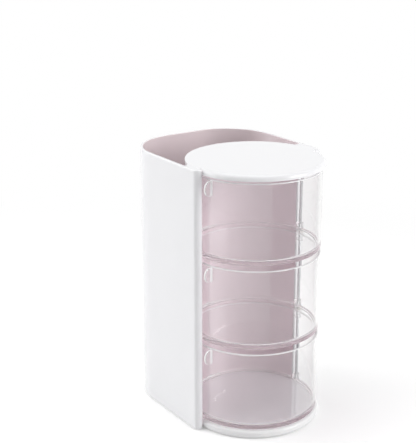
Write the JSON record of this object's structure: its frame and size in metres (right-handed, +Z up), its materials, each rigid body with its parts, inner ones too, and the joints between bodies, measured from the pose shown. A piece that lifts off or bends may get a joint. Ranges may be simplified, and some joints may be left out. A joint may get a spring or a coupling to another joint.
{
  "type": "hair accessory organizer",
  "caption": "White desktop organizer for hair accessories, with clear round drawers that swing out one over the other and a deep open bin behind them.",
  "frame": {"origin": "on the surface it stands on, under the middle of the overall box", "axes": "+Z up, the drawers face -Y, the bin is at +Y, the drawers' rod is at +X"},
  "size_m": [0.114, 0.1502, 0.2025],
  "materials": {
    "case_plastic": "gloss",
    "lid_plastic": "gloss",
    "base_plastic": "gloss",
    "clear_plastic": "clear gloss",
    "rod_steel": "polished",
    "collar_plastic": "satin",
    "foot_rubber": "matte"
  },
  "bodies": {
    "case": {"case": "case_plastic", "lid": "lid_plastic", "base": "base_plastic", "pivot_rod": "rod_steel", "collar_base": "collar_plastic", "collar_lower": "collar_plastic", "collar_upper": "collar_plastic", "collar_lid": "collar_plastic", "foot_front_left": "foot_rubber", "foot_front_right": "foot_rubber", "foot_rear_left": "foot_rubber", "foot_rear_right": "foot_rubber"},
    "drawer_bottom": {"drawer_bottom": "clear_plastic"},
    "drawer_middle": {"drawer_middle": "clear_plastic"},
    "drawer_top": {"drawer_top": "clear_plastic"}
  },
  "joints": [
    {"name": "drawer_bottom_swing", "type": "hinge", "parent": "case", "child": "drawer_bottom", "pos_m": [0.05123, -0.017, 0.0376], "axis": [0, 0, 1], "range_deg": [0, 140]},
    {"name": "drawer_middle_swing", "type": "hinge", "parent": "case", "child": "drawer_middle", "pos_m": [0.05123, -0.017, 0.1019], "axis": [0, 0, 1], "range_deg": [0, 140]},
    {"name": "drawer_top_swing", "type": "hinge", "parent": "case", "child": "drawer_top", "pos_m": [0.05123, -0.017, 0.1662], "axis": [0, 0, 1], "range_deg": [0, 140]}
  ]
}
